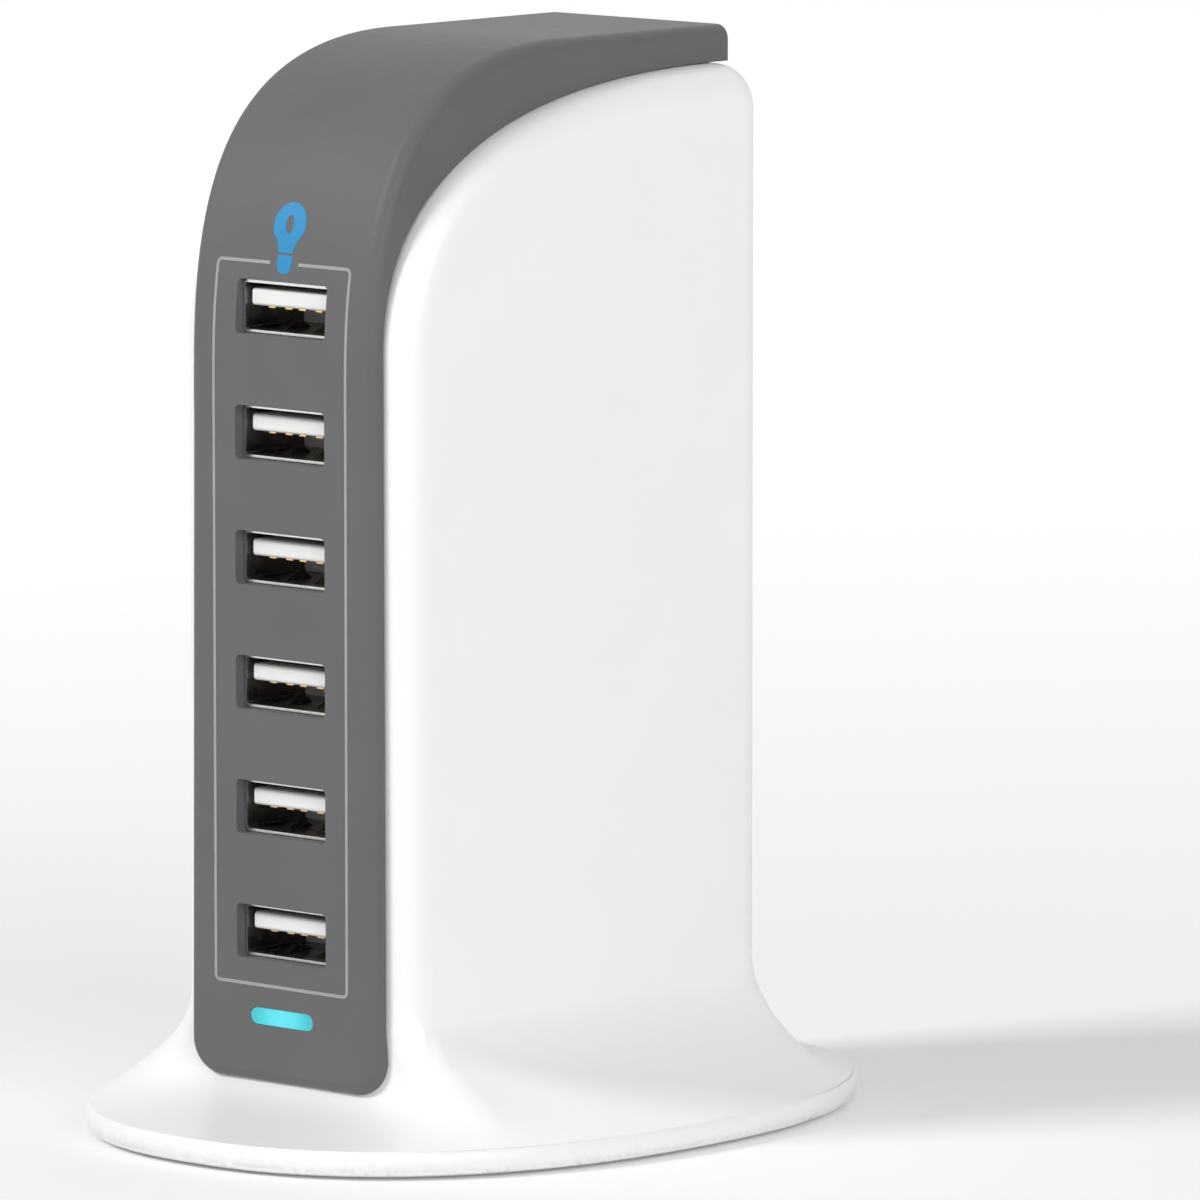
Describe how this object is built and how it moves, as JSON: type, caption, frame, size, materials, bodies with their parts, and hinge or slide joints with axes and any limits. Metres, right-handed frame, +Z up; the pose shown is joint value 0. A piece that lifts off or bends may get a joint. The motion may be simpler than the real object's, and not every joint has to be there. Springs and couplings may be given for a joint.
{
  "type": "multi port usb desktop charger",
  "caption": "Upright white charging tower on a flared oval foot, with a grey band over its front and top, a column of USB-A ports, a light bar below them and a mains inlet at the back.",
  "frame": {"origin": "On the ground, under the middle of the oval foot", "axes": "+Z up; the ports face -Y and the mains inlet +Y; +X to the right as seen from the port side"},
  "size_m": [0.072, 0.094, 0.12],
  "materials": {
    "white_shell": "satin",
    "grey_band": "satin",
    "rubber_foot": "matte",
    "steel_screw": "satin",
    "port_shell": "satin",
    "port_tongue": "satin",
    "gold_contact": "bright",
    "inlet_pin": "bright",
    "light_bar": "lit, milky",
    "board": "lacquered",
    "black_plastic": "moulded",
    "ferrite": "matte",
    "winding_tape": "satin",
    "choke_winding": "lacquered",
    "capacitor_sleeve": "shrunk sleeve",
    "film_capacitor": "satin",
    "disc_capacitor": "dipped",
    "fuse_glass": "clear",
    "heat_sink": "brushed",
    "lead": "insulation"
  },
  "bodies": {
    "root": {"housing": "white_shell", "front_band": "grey_band", "base_cover": "white_shell", "feet": "rubber_foot", "cover_screws": "steel_screw", "light_pipe": "light_bar", "lamp": "port_tongue", "port_board": "board", "power_board": "board", "board_screws": "steel_screw", "inlet_body": "black_plastic", "inlet_pins": "inlet_pin", "inlet_leads": "lead", "transformer_core": "ferrite", "transformer_coil": "winding_tape", "filter_choke": "choke_winding", "fuse": "fuse_glass", "filter_capacitor": "film_capacitor", "bridge_rectifier": "black_plastic", "input_capacitors": "capacitor_sleeve", "output_capacitors": "capacitor_sleeve", "safety_capacitor": "disc_capacitor", "switch_sink": "heat_sink", "switch_transistor": "black_plastic", "output_sink": "heat_sink", "output_rectifier": "black_plastic", "feedback_coupler": "black_plastic", "link_header": "port_tongue", "link_pins": "gold_contact", "port_1_shell": "port_shell", "port_1_tongue": "port_tongue", "port_1_contacts": "gold_contact", "port_2_shell": "port_shell", "port_2_tongue": "port_tongue", "port_2_contacts": "gold_contact", "port_3_shell": "port_shell", "port_3_tongue": "port_tongue", "port_3_contacts": "gold_contact", "port_4_shell": "port_shell", "port_4_tongue": "port_tongue", "port_4_contacts": "gold_contact", "port_5_shell": "port_shell", "port_5_tongue": "port_tongue", "port_5_contacts": "gold_contact", "port_6_shell": "port_shell", "port_6_tongue": "port_tongue", "port_6_contacts": "gold_contact"}
  },
  "joints": []
}
